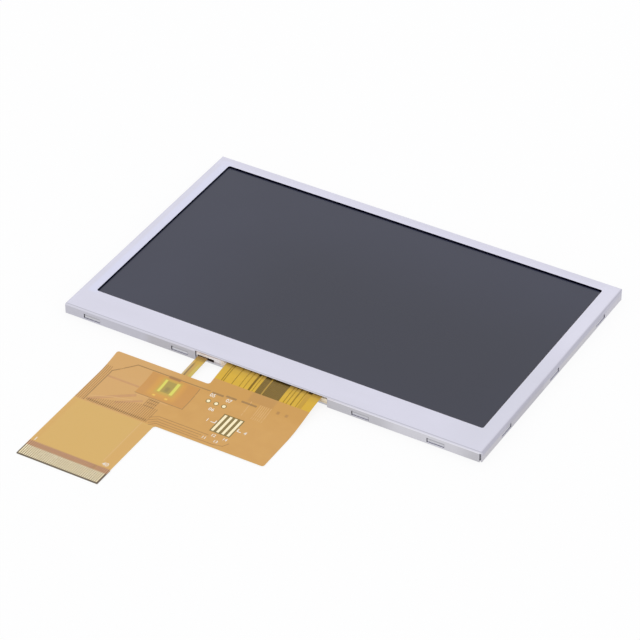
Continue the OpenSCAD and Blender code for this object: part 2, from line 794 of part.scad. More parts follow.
module solder_joints() {
    y0 = y_head_back - (head_w + solder_l) / 2;
    color([0.80, 0.80, 0.45]) on_flex(-solder_t, 0)
        for (s = [-1, 1])
            translate([head_x + s * solder_pitch / 2 - solder_w / 2, y0])
                square([solder_w, solder_l]);
}

// Insulating tape under the joint, with a blister over the strap's head
module joint_tape() {
    play = 0.2;
    color([0.80, 0.58, 0.33]) difference() {
        union() {
            on_flex(-tape_t, 0) tape_outline();
            on_flex(-joint_t - tape_t, 0) intersection() {
                tape_outline();
                union() {
                    head_outline(play + tape_t);
                    strap_outline(play + tape_t);
                }
            }
        }
        on_flex(-joint_t, EPS) {
            head_outline(play);
            strap_outline(play);
        }
    }
}

module tape_outline() {
    translate([head_x - tape_l / 2, y_tape - tape_w]) square([tape_l, tape_w]);
}

// ------------------------------------------------------------------ nodes

front_bezel();
window_gasket();
upper_polarizer();
colour_filter_glass();
array_glass();
lower_polarizer();
driver_chip();
rim_tape();
upper_prism_film();
lower_prism_film();
diffuser_film();
light_guide();
reflector_film();
lamp_flex();
mould_frame();
rear_cover();
main_flex();
strap_tracks();
coverlay();
contact_fingers();
touch_pads();
test_pads();
tail_stiffener();
solder_joints();
joint_tape();
for (i = [1:led_n]) led(i);
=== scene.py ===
"""Looks of a colour TFT display module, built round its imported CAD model.

The CAD solids are the object's own shapes and stay as they are. This script gives
each of them the finish of the real part, prints the numbers, lays the fine tracks
that show through the coverlay, and sets up the camera, the lamps and the floor.
"""
import logging
import math
from bisect import bisect_right
from dataclasses import dataclass, field
from enum import Enum

import bmesh
import bpy
from mathutils import Matrix, Vector


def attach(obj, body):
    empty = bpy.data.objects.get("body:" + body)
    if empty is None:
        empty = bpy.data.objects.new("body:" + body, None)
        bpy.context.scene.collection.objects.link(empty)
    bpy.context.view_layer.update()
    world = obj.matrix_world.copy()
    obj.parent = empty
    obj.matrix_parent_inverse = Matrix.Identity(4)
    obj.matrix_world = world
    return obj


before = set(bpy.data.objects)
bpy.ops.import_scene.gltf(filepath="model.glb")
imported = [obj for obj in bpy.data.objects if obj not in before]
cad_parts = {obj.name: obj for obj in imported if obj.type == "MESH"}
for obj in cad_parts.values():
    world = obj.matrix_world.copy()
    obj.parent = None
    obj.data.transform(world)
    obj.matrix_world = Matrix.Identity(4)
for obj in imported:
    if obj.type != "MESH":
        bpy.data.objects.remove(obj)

LOG = logging.getLogger("display_module")
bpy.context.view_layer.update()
MM = 0.001
ROOT = "root"

Span = tuple[float, float]
Point = tuple[float, float]
Labels = tuple[tuple[str, Point], ...]

# The grain of a finish: its octaves, their weight, and the part of the noise that it spans
GRAIN_DETAIL = 4.0
GRAIN_ROUGHNESS = 0.55
GRAIN_SPAN: Span = (0.3, 0.7)
# How far the edges of a zone's ticks fade, as a share of a tick's half width
TICK_FADE = 0.3
# How far a face leans towards an axis where a bend's painted shading starts and where it is full
LEAN: Span = (0.02, 0.1)

# The film that carries the print and shows the tracks
COVERLAY_NODE = "coverlay"
COVERLAY_SLOT = "coverlay_film"
# A digit's height as a share of the font's size
DIGIT_SHARE = 0.73
# In millimetres: heights closer than LEVEL are level, points closer than MERGE are one point,
# and a cut takes in the points within CUT_REACH of its plane
LEVEL = 1e-4
MERGE = 0.0005
CUT_REACH = 1e-5


def linear(code: str, alpha: float = 1.0) -> tuple[float, float, float, float]:
    """Turns an sRGB hex colour into linear values.

    Args:
        code: The colour as "#RRGGBB".
        alpha: The fourth value.

    Returns:
        Red, green, blue and alpha, linear.
    """
    parts = [int(code[i:i + 2], 16) / 255 for i in (1, 3, 5)]
    red, green, blue = [p / 12.92 if p <= 0.04045 else ((p + 0.055) / 1.055) ** 2.4 for p in parts]
    return red, green, blue, alpha


# ------------------------------------------------------------------ materials


class Sheet:
    """The shader tree of a material or a world, filled one node at a time."""

    def __init__(self, owner: bpy.types.Material | bpy.types.World) -> None:
        """Starts an empty tree.

        Args:
            owner: The material or the world that the tree belongs to.
        """
        owner.use_nodes = True
        self.owner = owner
        self.tree = owner.node_tree
        self.tree.nodes.clear()

    def add(self, kind: str, inputs: dict | None = None, **settings: object) -> bpy.types.Node:
        """Adds a node with its settings, its values and its links.

        Args:
            kind: Blender's name of the node.
            inputs: For each socket's name or number, a value or the socket to link from.
            settings: The node's own properties.

        Returns:
            The new node.
        """
        node = self.tree.nodes.new(kind)
        for key, value in settings.items():
            setattr(node, key, value)
        for key, value in (inputs or {}).items():
            socket = node.inputs[key]
            if isinstance(value, bpy.types.NodeSocket):
                self.tree.links.new(value, socket)
            else:
                socket.default_value = value
        return node

    def millimetres(self, stretch: Point = (1.0, 1.0)) -> bpy.types.NodeSocket:
        """Gives the place on the object in millimetres.

        Args:
            stretch: How far a pattern is drawn out along x and y.

        Returns:
            The socket of the scaled coordinates.
        """
        place = self.add("ShaderNodeTexCoord")
        scale = (1 / MM / stretch[0], 1 / MM / stretch[1], 1 / MM)
        scaled = self.add("ShaderNodeMapping", {0: place.outputs["Object"], "Scale": scale})
        return scaled.outputs[0]

    def tint(self, below: object, above: object, share: object) -> bpy.types.NodeSocket:
        """Lays one colour over another.

        Args:
            below: The lower colour, or its socket.
            above: The upper colour, or its socket.
            share: How much of the upper one shows, or its socket.

        Returns:
            The socket of the mixed colour.
        """
        mix = self.add("ShaderNodeMix", {0: share, 6: below, 7: above}, data_type="RGBA")
        return mix.outputs[2]

    def finish(self, shader: bpy.types.Node) -> bpy.types.Material:
        """Ends the tree with its output.

        Args:
            shader: The node whose first output is the surface.

        Returns:
            The finished material.
        """
        self.add("ShaderNodeOutputMaterial", {"Surface": shader.outputs[0]})
        return self.owner


class Axis(Enum):
    """The axes of the module, by their names on a node's sockets."""

    X = "X"
    Y = "Y"
    Z = "Z"


@dataclass(frozen=True)
class Zone:
    """A soft-edged block of another tone, in millimetres.

    An axis without a span is unlimited. A pitch repeats the block as ticks along x, the first
    one centred on first, each as wide as its duty's share of the pitch.
    """

    tone: str
    x: Span | None = None
    y: Span | None = None
    z: Span | None = None
    share: float = 1.0
    soft: float = 0.15
    pitch: float = 0.0
    first: float = 0.0
    duty: float = 0.5

    def mask(self, sheet: Sheet, axes: bpy.types.Node) -> bpy.types.NodeSocket:
        """Draws the zone as a mask.

        Args:
            sheet: The material's tree.
            axes: The node that gives x and y in millimetres.

        Returns:
            The socket of the mask, from 0 to the zone's share.
        """
        masks: list[object] = [self.share]
        for axis, span in zip(Axis, (self.x, self.y, self.z)):
            for end, limit in enumerate(span or ()):
                edge = (limit - self.soft / 2, limit + self.soft / 2)
                low, high = edge if end == 0 else edge[::-1]
                masks.append(sheet.add(
                    "ShaderNodeMapRange",
                    {"Value": axes.outputs[axis.value], "From Min": low, "From Max": high},
                    interpolation_type="SMOOTHSTEP").outputs[0])
        if self.pitch:
            turn = sheet.add("ShaderNodeMath", {0: axes.outputs[Axis.X.value], 1: self.first},
                             operation="SUBTRACT").outputs[0]
            wave = sheet.add("ShaderNodeMath", {0: turn, 1: self.pitch / 2},
                             operation="PINGPONG").outputs[0]
            half = self.pitch / 2 * self.duty
            masks.append(sheet.add("ShaderNodeMapRange", {
                "Value": wave, "From Min": half * (1 + TICK_FADE),
                "From Max": half * (1 - TICK_FADE)}).outputs[0])
        total = masks[0]
        for mask in masks[1:]:
            total = sheet.add("ShaderNodeMath", {0: total, 1: mask}, operation="MULTIPLY").outputs[0]
        return total


@dataclass(frozen=True)
class Finish:
    """A finish with two close tones, a fine grain, and zones of other tones."""

    name: str
    tone: str
    cloud: str
    grain: float = 1.5
    stretch: Point = (1.0, 1.0)
    metallic: float = 0.0
    roughness: float = 0.5
    wear: float = 0.05
    bump: float = 0.0
    ior: float = 1.5
    zones: tuple[Zone, ...] = ()

    def colour(self, sheet: Sheet, grain: bpy.types.NodeSocket) -> bpy.types.NodeSocket:
        """Builds the colour from the two tones and the zones.

        Args:
            sheet: The material's tree.
            grain: The socket of the grain, from 0 to 1.

        Returns:
            The socket of the colour.
        """
        colour = sheet.tint(linear(self.tone), linear(self.cloud), grain)
        if self.zones:
            axes = sheet.add("ShaderNodeSeparateXYZ", {0: sheet.millimetres()})
            for zone in self.zones:
                colour = sheet.tint(colour, linear(zone.tone), zone.mask(sheet, axes))
        return colour

    def material(self) -> bpy.types.Material:
        """Builds the finish as a material.

        Returns:
            The material.
        """
        sheet = Sheet(bpy.data.materials.new(self.name))
        noise = sheet.add("ShaderNodeTexNoise", {
            "Vector": sheet.millimetres(self.stretch), "Scale": 1 / self.grain,
            "Detail": GRAIN_DETAIL, "Roughness": GRAIN_ROUGHNESS})
        grain = sheet.add("ShaderNodeMapRange", {
            "Value": noise.outputs[0], "From Min": GRAIN_SPAN[0],
            "From Max": GRAIN_SPAN[1]}).outputs[0]
        rough = sheet.add("ShaderNodeMapRange", {
            "Value": noise.outputs[0], "To Min": self.roughness - self.wear,
            "To Max": self.roughness + self.wear}).outputs[0]
        inputs = {"Base Color": self.colour(sheet, grain), "Roughness": rough}
        if self.metallic:
            inputs["Metallic"] = self.metallic
        else:
            inputs["IOR"] = self.ior
        if self.bump:
            inputs["Normal"] = sheet.add("ShaderNodeBump", {
                "Height": noise.outputs[0], "Distance": self.bump * MM, "Strength": 1.0}).outputs[0]
        return sheet.finish(sheet.add("ShaderNodeBsdfPrincipled", inputs))


@dataclass(frozen=True)
class Fold:
    """The painted light and shade of a bend over a range of its slope, from 1 on the flat to 0 on
    the wall.

    With walls set, it keeps to the bends whose walls face along that axis.
    """

    tone: str
    slope: Span
    walls: Axis | None = None
    soft: float = 0.04

    def mask(self, sheet: Sheet, facing: bpy.types.Node) -> bpy.types.NodeSocket:
        """Marks the faces of the bend that lean within the range.

        Args:
            sheet: The material's tree.
            facing: The node that gives the size of each part of the normal.

        Returns:
            The socket of the mask, from 0 to 1.
        """
        low, high = self.slope
        total = sheet.add("ShaderNodeMapRange", {
            "Value": facing.outputs[Axis.Z.value], "From Min": low - self.soft,
            "From Max": low}).outputs[0]
        limits = [(Axis.Z, high + self.soft, high)]
        if self.walls:
            limits.append((self.walls, *LEAN))
        for axis, start, end in limits:
            step = sheet.add("ShaderNodeMapRange", {
                "Value": facing.outputs[axis.value], "From Min": start, "From Max": end}).outputs[0]
            total = sheet.add("ShaderNodeMath", {0: total, 1: step}, operation="MULTIPLY").outputs[0]
        return total


# The faces that stand upright; its mask alone is used
UPRIGHT = Fold("", (-1.0, 0.2))


@dataclass(frozen=True)
class FoldedFinish(Finish):
    """A sheet finish with painted light and shade along its bends and on its walls."""

    bend_shading: tuple[Fold, ...] = ()
    wall_shading: tuple[Zone, ...] = ()

    def colour(self, sheet: Sheet, grain: bpy.types.NodeSocket) -> bpy.types.NodeSocket:
        """Adds the painted light and shade of the bends and the walls, by how far a face leans.

        Args:
            sheet: The material's tree.
            grain: The socket of the grain, from 0 to 1.

        Returns:
            The socket of the colour.
        """
        colour = super().colour(sheet, grain)
        normal = sheet.add("ShaderNodeNewGeometry").outputs["Normal"]
        size = sheet.add("ShaderNodeVectorMath", {0: normal}, operation="ABSOLUTE").outputs[0]
        facing = sheet.add("ShaderNodeSeparateXYZ", {0: size})
        for fold in self.bend_shading:
            colour = sheet.tint(colour, linear(fold.tone), fold.mask(sheet, facing))
        upright = UPRIGHT.mask(sheet, facing)
        axes = sheet.add("ShaderNodeSeparateXYZ", {0: sheet.millimetres()})
        for zone in self.wall_shading:
            share = sheet.add("ShaderNodeMath", {0: zone.mask(sheet, axes), 1: upright},
                              operation="MULTIPLY").outputs[0]
            colour = sheet.tint(colour, linear(zone.tone), share)
        return colour


# Zinc-plated steel sheet, satin from its rolls: pale, faintly lilac, soft reflections, with light
# and shade painted in: reflections on the top, highlights and dark lines on the bends, shade on the
# walls
BEZEL_STEEL = FoldedFinish(
    "zinc_plated_steel", "#DCDBEA", "#D9D8E6", grain=7.0, stretch=(3.0, 1.0), metallic=1.0,
    roughness=0.42, wear=0.04, bump=0.002,
    zones=(
        # Painted reflections: lighter and darker patches across the top
        Zone("#DCDEF3", x=(-51.0, -48.5), y=(-27.0, 32.0), soft=1.0, share=0.7),
        Zone("#DEDDEE", y=(30.2, 31.8), soft=0.8, share=0.6),
        Zone("#D6D6E3", x=(44.0, 54.0), y=(-34.0, 0.0), soft=12.0, share=0.8),
        Zone("#E1E0EE", x=(49.0, 54.0), y=(8.0, 34.0), soft=8.0, share=0.8),
    ),
    bend_shading=(
        # Painted highlights and dark lines along the bends, by how far each face leans
        Fold("#C3C3CF", (0.57, 0.84), walls=Axis.Y),
        Fold("#DDDCE8", (-1.0, 0.57), walls=Axis.Y),
        Fold("#CFCEDB", (0.70, 0.92), walls=Axis.X),
        Fold("#BCBBC9", (-1.0, 0.70), walls=Axis.X),
    ),
    wall_shading=(
        # Painted shade on the walls, lighter and darker along them, with painted highlights on the
        # front bend and the back-right corner
        Zone("#C7C6D0", y=(-34.0, -33.0), soft=0.1),
        Zone("#BDBBC1", x=(-31.0, -10.0), soft=3.0),
        Zone("#C5C4CA", x=(10.0, 52.4), soft=0.5),
        Zone("#D4D3DA", x=(30.0, 48.5), soft=6.0),
        Zone("#DAD9E5", x=(-60.0, -18.0), y=(-34.0, -33.0), z=(2.26, 3.0), soft=0.12),
        Zone("#E9E8F1", x=(14.0, 52.4), y=(-34.0, -33.0), z=(2.26, 3.0), soft=0.12),
        Zone("#C9C7CC", x=(52.6, 60.0), z=(-1.0, 1.5), soft=0.5),
        Zone("#B4B2BC", x=(52.6, 60.0), y=(-22.0, -5.0), soft=0.8, share=0.6),
        Zone("#CFCDD9", x=(52.6, 60.0), y=(24.0, 33.0), soft=3.0, share=0.7),
        Zone("#DDDCE8", x=(51.8, 60.0), y=(33.0, 34.0), soft=0.5, share=0.9),
        # Along the cut-out's edge: over the lamp strap, the sheet's dark cut edge with painted
        # shadow; over the main strap, a painted warm reflection of the strap
        Zone("#9A9494", x=(-18.6, -10.3), y=(-34.0, -33.0), z=(2.4, 2.68), soft=0.06),
        Zone("#CDB595", x=(-10.3, 15.0), y=(-34.0, -33.0), z=(2.4, 2.74), soft=0.1, share=0.7),
        # The window's inner edges painted dark as shade
        Zone("#23243A", x=(-49.6, 49.6), y=(-27.0, 31.2), soft=0.1),
    ))
# Bare cold-rolled steel of the rear cover: greyer, with long rolling marks; painted shade on its
# bends and walls, and a lighter band painted over the snap tongues against the bezel's shade
COVER_STEEL = FoldedFinish(
    "cold_rolled_steel", "#C9C9CE", "#BFBFC5", grain=2.5, stretch=(12.0, 1.0), metallic=1.0,
    roughness=0.38, wear=0.08, bump=0.004,
    bend_shading=(Fold("#B2B2B8", (0.20, 0.97)), Fold("#C6C6CC", (-1.0, 0.20))),
    wall_shading=(Zone("#D4D3D9", z=(0.75, 1.7), soft=0.1),))
# Hard-coated anti-glare polarizer over a dark cell: deep blue-grey, hazy reflections
POLARIZER = Finish(
    "polarizer_film", "#292C41", "#272A3F", grain=14.0, roughness=0.24, wear=0.02,
    zones=(
        # Painted reflection: a broad soft darkening towards the front and right of the screen
        Zone("#1D2032", x=(-25.0, 56.0), y=(-34.0, 15.0), share=0.75, soft=34.0),
        # Painted shade: dark lines along the window's back, left and right edges
        Zone("#0B0C1E", y=(30.45, 33.0), soft=0.15),
        Zone("#12142A", x=(-53.0, -49.0), soft=0.15),
        Zone("#2E2628", x=(48.75, 53.0), soft=0.3, share=0.6),
    ))
# Moulded white polycarbonate
WHITE_PLASTIC = Finish(
    "white_polycarbonate", "#FFFCFF", "#FBF6F9", grain=2.0, roughness=0.5, bump=0.003,
    zones=(
        Zone("#D3CDD1", y=(-34.0, -33.0), z=(-1.0, 1.35), soft=0.3),
        Zone("#FBE9D2", x=(-12.0, -10.0), y=(-34.0, -33.0), soft=1.0, share=0.8),
        Zone("#FFF0CF", x=(13.0, 15.5), y=(-34.0, -33.0), soft=0.6, share=0.8),
        # Painted shadow under the bezel's edge, along the top of the frame's front face
        Zone("#CFC4C4", y=(-34.0, -33.0), z=(2.24, 3.0), soft=0.12),
        # The inside of the lamp strap's slot painted dark as shade
        Zone("#35261E", x=(-17.95, -13.7), y=(-33.8, -29.0), z=(0.92, 1.64), soft=0.05),
    ))
# Amber polyimide coverlay over copper tracks: tan, satin, slightly uneven
COVERLAY = Finish(
    "polyimide_coverlay", "#D2A056", "#CE9B52", grain=3.5, roughness=0.42, wear=0.05, bump=0.003,
    zones=(
        Zone("#D4A565", x=(-40.0, -18.0), soft=8.0),
        Zone("#CD9A4E", y=(-42.5, -38.0), x=(-11.0, 14.0), soft=2.5),
        Zone("#D6AD61", y=(-75.2, -58.2), soft=0.5),
        Zone("#D6A45C", x=(-16.3, -13.9), y=(-75.2, -58.6), share=0.5, soft=0.5),
        Zone("#D6A45C", x=(-34.2, -32.8), y=(-75.2, -58.6), share=0.4, soft=0.8),
        Zone("#E2AE80", y=(-78.0, -75.15), soft=0.12),
        Zone("#5F3626", y=(-78.0, -75.15), soft=0.12, pitch=0.5, first=-33.92, share=0.9),
        Zone("#CB9148", x=(-23.65, -11.5), y=(-50.2, -42.65), soft=0.25, share=0.85),
        Zone("#D9A046", x=(-21.5, -14.5), y=(-49.4, -43.0), soft=1.6, share=0.7),
        Zone("#C9A74A", x=(-20.3, -15.5), y=(-48.1, -43.1), soft=0.9, share=0.9),
        Zone("#AD984A", x=(-19.05, -16.8), y=(-47.3, -43.7), soft=0.3),
        Zone("#8F7C46", x=(-18.4, -17.4), y=(-46.9, -45.4), soft=0.8, share=0.7),
        Zone("#9A6B48", x=(-19.5, -16.6), y=(-42.9, -42.2), soft=0.5, share=0.8),
        Zone("#DCD860", x=(-19.75, -19.15), y=(-47.45, -43.5), soft=0.25),
        Zone("#DCD860", x=(-16.75, -16.0), y=(-47.45, -43.5), soft=0.25),
        Zone("#EFCB5C", x=(-19.85, -19.2), y=(-49.25, -48.75), soft=0.4, share=0.9),
        Zone("#EFCB5C", x=(-16.75, -16.1), y=(-49.25, -48.75), soft=0.4, share=0.9),
        Zone("#B98A50", x=(-0.4, 5.8), y=(-41.4, -38.0), soft=0.8, share=0.5),
        Zone("#A97C48", x=(7.2, 7.9), y=(-42.1, -41.3), soft=0.4, share=0.7),
        Zone("#A97C48", x=(9.3, 10.0), y=(-42.1, -41.3), soft=0.4, share=0.6),
    ))
# Polyimide base film, bare on the strap and in the pad openings
BASE_FILM = Finish(
    "polyimide_base", "#DAB02A", "#D4A926", grain=2.5, roughness=0.3, bump=0.002,
    zones=(
        # Painted shade where the strap leaves the module, with a painted lighter band under the
        # bezel
        Zone("#CBA326", y=(-35.6, -30.0), soft=2.4),
        Zone("#B18A2A", y=(-34.3, -30.0), soft=0.9),
        Zone("#CDAA5A", y=(-33.75, -30.0), soft=0.4),
        Zone("#8F7535", x=(-0.2, 5.85), y=(-38.8, -30.0), soft=0.1),
        Zone("#B08C33", x=(1.25, 1.75), y=(-38.8, -30.0), soft=0.25),
        Zone("#857035", x=(-2.9, 2.6), y=(-54.0, -46.9), soft=0.1),
        Zone("#84702F", x=(-8.8, -3.3), y=(-46.2, -43.9), soft=0.1),
        Zone("#5C3C2A", y=(-81.0, -76.0), soft=0.1),
        # The tail's cut edges darker: the stiffener's own dark edge, with painted shade on it
        Zone("#5E5340", y=(-81.0, -80.02), soft=0.1),
        Zone("#5E5340", x=(-35.0, -33.98), y=(-81.0, -76.0), soft=0.12),
        Zone("#5E5340", x=(-13.85, -13.0), y=(-81.0, -76.0), soft=0.12),
    ))
# Thin yellow film of the lamp strap, with its copper showing through
LAMP_FILM = Finish(
    "yellow_polyimide", "#CBA452", "#C59E4E", grain=2.0, roughness=0.32, bump=0.002,
    zones=(
        Zone("#CDB37E", x=(-18.0, -17.35), soft=0.15),
        Zone("#94774A", x=(-17.35, -16.95), soft=0.25),
        Zone("#CDB656", x=(-16.2, -15.2), soft=0.4),
        # Painted shade where the strap leaves the module, with a painted lighter band under the
        # bezel
        Zone("#D0A63A", y=(-36.2, -30.0), soft=1.6, share=0.7),
        Zone("#AC8A42", y=(-34.9, -30.0), soft=0.9),
        Zone("#C8A274", y=(-33.75, -30.0), soft=0.4),
    ))
# Tin-plated copper left bare: dull olive
TRACK_COPPER = Finish(
    "plated_copper", "#A88838", "#9E7F34", grain=0.8, metallic=1.0, roughness=0.4, wear=0.08,
    zones=(
        Zone("#836C3C", x=(-0.6, 6.2), soft=0.05),
        Zone("#8C6F30", x=(-2.4, -1.2), soft=0.05),
        Zone("#C9A24A", x=(10.1, 11.7), soft=0.05),
    ))
# Flash gold on the contacts and pads
FLASH_GOLD = Finish("flash_gold", "#FFF3D0", "#FBECC2", grain=0.6, metallic=1.0, roughness=0.28,
                    wear=0.06)
# Glossy reflowed solder with a trace of flux
SOLDER = Finish("reflowed_solder", "#C9C7A0", "#B5B38C", grain=0.4, metallic=1.0,
                roughness=0.25, bump=0.01)
# Laminated polyimide stiffener
STIFFENER = Finish("polyimide_stiffener", "#7A6A50", "#6F6048", grain=1.2, roughness=0.5)
# Amber polyimide tape under the joint
TAPE = Finish("polyimide_tape", "#C88F50", "#C08748", grain=2.0, roughness=0.3)
# Closed-cell black foam
FOAM = Finish("black_foam", "#17171A", "#101013", grain=0.3, roughness=0.9, bump=0.01)
# Cut float glass and optical films inside the module
CELL_GLASS = Finish("cell_glass", "#9FB0B4", "#97A9AE", grain=8.0, roughness=0.1)
OPTICAL_FILM = Finish("optical_film", "#ECEEF1", "#E5E8EC", grain=4.0, roughness=0.35)
ACRYLIC = Finish("light_guide_acrylic", "#DCE9EC", "#D5E3E7", grain=6.0, roughness=0.12)
SILICON = Finish("bare_silicon", "#3A3C42", "#33353B", grain=0.5, roughness=0.2)
LAMP_BODY = Finish("lamp_phosphor", "#F2E3A0", "#EBDA90", grain=0.5, roughness=0.4)

# Inks and tracks under the coverlay, drawn wider than the real 0.06 mm so that they show
WHITE_INK = Finish("white_ink", "#F3EEE6", "#EAE2D6", grain=0.4, roughness=0.6, bump=0.004)
TRACK_SHADE = Finish("track_shade", "#AF824A", "#A97C45", grain=0.9, roughness=0.42)
TRACK_DARK = Finish("track_dark", "#A9824C", "#A27B47", grain=0.9, roughness=0.42)
TRACK_DEEP = Finish("track_deep", "#A9804C", "#A17947", grain=0.9, roughness=0.42)
TRACK_ROSE = Finish("track_rose", "#CC9A66", "#C89662", grain=1.6, roughness=0.42)
TRACK_LIGHT = Finish("track_light", "#DDB277", "#D9AE72", grain=1.2, roughness=0.42)

NODE_FINISHES: dict[str, Finish] = {
    "front_bezel": BEZEL_STEEL, "rear_cover": COVER_STEEL, "window_gasket": FOAM,
    "upper_polarizer": POLARIZER, "lower_polarizer": POLARIZER,
    "colour_filter_glass": CELL_GLASS, "array_glass": CELL_GLASS, "driver_chip": SILICON,
    "rim_tape": FOAM, "upper_prism_film": OPTICAL_FILM, "lower_prism_film": OPTICAL_FILM,
    "diffuser_film": OPTICAL_FILM, "light_guide": ACRYLIC, "reflector_film": WHITE_PLASTIC,
    "lamp_flex": LAMP_FILM, "mould_frame": WHITE_PLASTIC, "main_flex": BASE_FILM,
    "strap_tracks": TRACK_COPPER, "coverlay": COVERLAY, "contact_fingers": FLASH_GOLD,
    "touch_pads": FLASH_GOLD, "test_pads": FLASH_GOLD, "tail_stiffener": STIFFENER,
    "solder_joints": SOLDER, "joint_tape": TAPE,
}
LAMP_PREFIX = "led_"


class Paintbox:
    """Builds each finish once and hands it out."""

    def __init__(self) -> None:
        """Starts with no material built."""
        self.built: dict[str, bpy.types.Material] = {}

    def get(self, finish: Finish) -> bpy.types.Material:
        """Gives a finish's material.

        Args:
            finish: The finish.

        Returns:
            Its material, built at the first call.
        """
        if finish.name not in self.built:
            self.built[finish.name] = finish.material()
        return self.built[finish.name]


# ------------------------------------------------------------- sub-assemblies


class FilmProfile:
    """The height of a bent film's top, read from its CAD node."""

    def __init__(self, node: str) -> None:
        """Reads the bends of a film.

        Args:
            node: The name of its CAD node.
        """
        tops: dict[float, float] = {}
        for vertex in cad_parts[node].data.vertices:
            along = round(vertex.co.y / MM, 4)
            tops[along] = max(tops.get(along, -1.0), vertex.co.z / MM)
        self.knots = sorted(tops)
        self.tops = [tops[along] for along in self.knots]

    def height(self, along: float) -> float:
        """Gives the film's height at a place along y.

        Args:
            along: The place, in millimetres.

        Returns:
            The height of the film's top, in millimetres.
        """
        i = min(max(bisect_right(self.knots, along), 1), len(self.knots) - 1)
        (y0, y1), (z0, z1) = self.knots[i - 1:i + 1], self.tops[i - 1:i + 1]
        return z0 + (z1 - z0) * min(max((along - y0) / (y1 - y0), 0.0), 1.0)

    def bends(self) -> list[float]:
        """Gives the places where the film's slope changes."""
        rows = zip(self.knots[1:], self.tops, self.tops[1:], self.tops[2:])
        return [along for along, before, here, after in rows
                if max(abs(before - here), abs(here - after)) > LEVEL]


@dataclass
class Layer:
    """Thin shapes that follow a bent film: printed ink, or tracks that show through it."""

    name: str
    finish: Finish
    slot: str
    profile: FilmProfile
    thickness: float = 0.012
    sunk: float = 0.004
    step: float = 0.0015
    overlap: float = 0.4
    mesh: bmesh.types.BMesh = field(default_factory=bmesh.new)

    def stroke(self, start: Point, end: Point, width: float, rise: float = 0.0) -> None:
        """Adds one straight line.

        Args:
            start: The middle of its first end, in millimetres on the plan.
            end: The middle of its other end.
            width: Its width, in millimetres.
            rise: How far it lies above its neighbours, so that crossing lines share no face.
        """
        a, b = Vector(start), Vector(end)
        run = b - a
        turn = Matrix.Rotation(math.atan2(run.y, run.x), 4, "Z")
        size = Matrix.Diagonal((run.length, width, self.thickness, 1))
        place = Matrix.Translation((*((a + b) / 2), rise)) @ turn @ size
        bmesh.ops.create_cube(self.mesh, size=1.0, matrix=place)

    def path(self, points: tuple[Point, ...], width: float) -> None:
        """Adds a line with corners.

        Args:
            points: Its corners, in millimetres on the plan.
            width: Its width, in millimetres.
        """
        for i, (start, end) in enumerate(zip(points, points[1:])):
            grow = (Vector(end) - Vector(start)).normalized() * width * self.overlap
            self.stroke(tuple(Vector(start) - grow), tuple(Vector(end) + grow), width,
                        rise=self.step * (i % 2))

    def number(self, text: str, place: Point, height: float, weight: float = 0.02) -> None:
        """Adds a printed number.

        Args:
            text: The digits.
            place: The middle of the number, in millimetres on the plan.
            height: The height of a digit, in millimetres.
            weight: How far its strokes are thickened, in millimetres.
        """
        curve = bpy.data.curves.new(self.name, "FONT")
        curve.body, curve.size = text, height / DIGIT_SHARE
        curve.align_x, curve.align_y = "CENTER", "CENTER"
        curve.resolution_u, curve.offset = 3, weight
        curve.extrude = self.thickness / 2
        drawn = bpy.data.objects.new(self.name, curve)
        bpy.context.scene.collection.objects.link(drawn)
        bpy.context.view_layer.update()
        shaped = drawn.evaluated_get(bpy.context.evaluated_depsgraph_get())
        mesh = bpy.data.meshes.new_from_object(shaped)
        mesh.transform(Matrix.Translation((*place, 0)))
        self.mesh.from_mesh(mesh)
        bpy.data.objects.remove(drawn)
        bpy.data.curves.remove(curve)
        bpy.data.meshes.remove(mesh)

    def build(self, paints: Paintbox) -> bpy.types.Object:
        """Bends the shapes over the film and makes them one piece.

        Args:
            paints: The paintbox.

        Returns:
            The finished piece.
        """
        shapes = self.mesh
        bmesh.ops.remove_doubles(shapes, verts=shapes.verts, dist=MERGE)
        for bend in self.profile.bends():
            geometry = shapes.verts[:] + shapes.edges[:] + shapes.faces[:]
            bmesh.ops.bisect_plane(shapes, geom=geometry, dist=CUT_REACH, plane_co=(0, bend, 0),
                                   plane_no=(0, 1, 0))
        lift = self.thickness / 2 - self.sunk
        for vertex in shapes.verts:
            vertex.co.z += self.profile.height(vertex.co.y) + lift
        bmesh.ops.scale(shapes, vec=(MM, MM, MM), verts=shapes.verts)
        bmesh.ops.recalc_face_normals(shapes, faces=shapes.faces)
        mesh = bpy.data.meshes.new(self.name)
        shapes.to_mesh(mesh)
        shapes.free()
        mesh.materials.append(paints.get(self.finish))
        piece = bpy.data.objects.new(self.name, mesh)
        bpy.context.scene.collection.objects.link(piece)
        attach(piece, ROOT)
        LOG.info("%s: %d faces", self.name, len(mesh.polygons))
        return piece


@dataclass
class DisplayBody:
    """The CAD solids of the whole module, dressed in their finishes."""

    finishes: dict[str, Finish] = field(default_factory=lambda: NODE_FINISHES)

    def build(self, paints: Paintbox) -> None:
        """Gives each CAD node its finish.

        Args:
            paints: The paintbox.
        """
        for name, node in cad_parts.items():
            finish = LAMP_BODY if name.startswith(LAMP_PREFIX) else self.finishes[name]
            for slot in node.material_slots:
                slot.material = paints.get(finish)
            LOG.info("%s: %s", name, finish.name)


